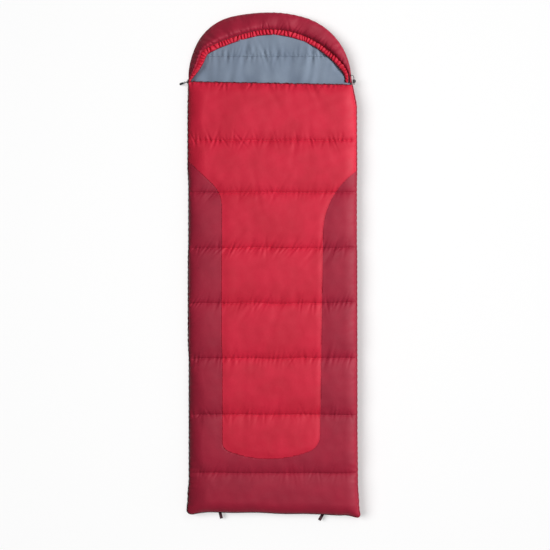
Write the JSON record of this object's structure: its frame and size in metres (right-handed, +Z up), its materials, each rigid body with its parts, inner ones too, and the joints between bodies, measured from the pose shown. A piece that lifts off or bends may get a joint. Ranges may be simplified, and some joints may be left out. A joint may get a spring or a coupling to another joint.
{
  "type": "hooded rectangular sleeping bag",
  "caption": "Zipped two-colour hooded blanket-style sleeping bag with quilted channels, laid flat and empty.",
  "frame": {"origin": "on the floor, under the middle of the bag's length between foot and hood, halfway between the sides", "axes": "+Y from the foot to the hood, +X to the folded side (the sleeper's left when lying on their back), +Z up"},
  "size_m": [0.7809, 2.2286, 0.0843],
  "materials": {
    "shell_bright": "coated polyester taffeta, slight sheen",
    "shell_dark": "coated polyester taffeta, slight sheen",
    "lining": "brushed polyester",
    "batting": "hollow-fibre batting",
    "trim": "woven binding",
    "zip_tape": "woven tape",
    "zip_coil": "nylon coil",
    "slider": "black enamel",
    "steel": "plain wire",
    "cord": "braided polyester",
    "lock_plastic": "moulded, fine texture",
    "grip_rubber": "moulded soft plastic",
    "webbing": "woven webbing"
  },
  "bodies": {
    "base_quilt": {"bottom_shell": "shell_dark", "bottom_insulation": "batting", "bottom_lining": "lining", "hood_lining": "lining", "hood_shell": "shell_dark", "hood_insulation": "batting", "hood_drawcord_channel": "shell_bright", "hood_drawcord": "cord", "drawcord_eyelet": "slider", "drawcord_tail": "cord", "drawcord_knot": "cord", "edge_piping": "trim", "fold_strip_lower": "shell_dark", "zip_tape_lower": "zip_tape", "zip_coil_lower": "zip_coil", "zip_top_stop": "slider", "zip_bottom_stop": "slider", "draft_tube_side": "lining", "draft_tube_foot": "lining", "hang_loop_tabs": "webbing"},
    "top_quilt": {"top_shell_centre": "shell_bright", "top_shell_surround": "shell_dark", "top_insulation": "batting", "top_lining": "lining", "top_edge_binding": "trim", "fold_strip_upper": "shell_dark", "zip_tape_upper": "zip_tape", "zip_coil_upper": "zip_coil"},
    "slider": {"zip_slider": "slider"},
    "pull_tab": {"zip_pull_tab": "slider"},
    "puller": {"puller_cord": "cord", "puller_grip": "grip_rubber"},
    "cord_lock": {"cord_lock_body": "lock_plastic", "cord_lock_spring": "steel"},
    "lock_button": {"cord_lock_button": "lock_plastic"},
    "loop_left": {"hang_loop_left": "webbing"},
    "loop_right": {"hang_loop_right": "webbing"}
  },
  "joints": [
    {"name": "top_quilt_fold", "type": "hinge", "parent": "base_quilt", "child": "top_quilt", "pos_m": [0.3685, 0, 0.039], "axis": [0, 1, 0], "range_deg": [0, 170]},
    {"name": "zip_slider_travel", "type": "slide", "parent": "base_quilt", "child": "slider", "axis": [0, -1, 0], "range_m": [0, 1.82], "deforming": ["zip_coil_upper", "zip_tape_upper"]},
    {"name": "zip_pull_swing", "type": "hinge", "parent": "slider", "child": "pull_tab", "pos_m": [-0.3743, 0.79225, 0.039], "axis": [0, 0, 1], "range_deg": [-80, 60]},
    {"name": "puller_lift", "type": "hinge", "parent": "pull_tab", "child": "puller", "pos_m": [-0.38139, 0.791, 0.039], "axis": [-0.1736, 0.9848, 0], "range_deg": [0, 110]},
    {"name": "cord_lock_travel", "type": "slide", "parent": "base_quilt", "child": "cord_lock", "axis": [0, 1, 0], "range_m": [0, 0.008]},
    {"name": "cord_lock_press", "type": "slide", "parent": "cord_lock", "child": "lock_button", "axis": [-1, 0, 0], "range_m": [0, 0.0022], "stiffness_N_per_m": 1500, "springref_m": -0.001, "deforming": ["cord_lock_spring"]},
    {"name": "hang_loop_left_lift", "type": "hinge", "parent": "base_quilt", "child": "loop_left", "pos_m": [-0.228, -1.10027, 0.02], "axis": [-0.9703, -0.2419, 0], "range_deg": [0, 70]},
    {"name": "hang_loop_right_lift", "type": "hinge", "parent": "base_quilt", "child": "loop_right", "pos_m": [0.212, -1.10195, 0.02], "axis": [-0.866, 0.5, 0], "range_deg": [0, 70]}
  ]
}
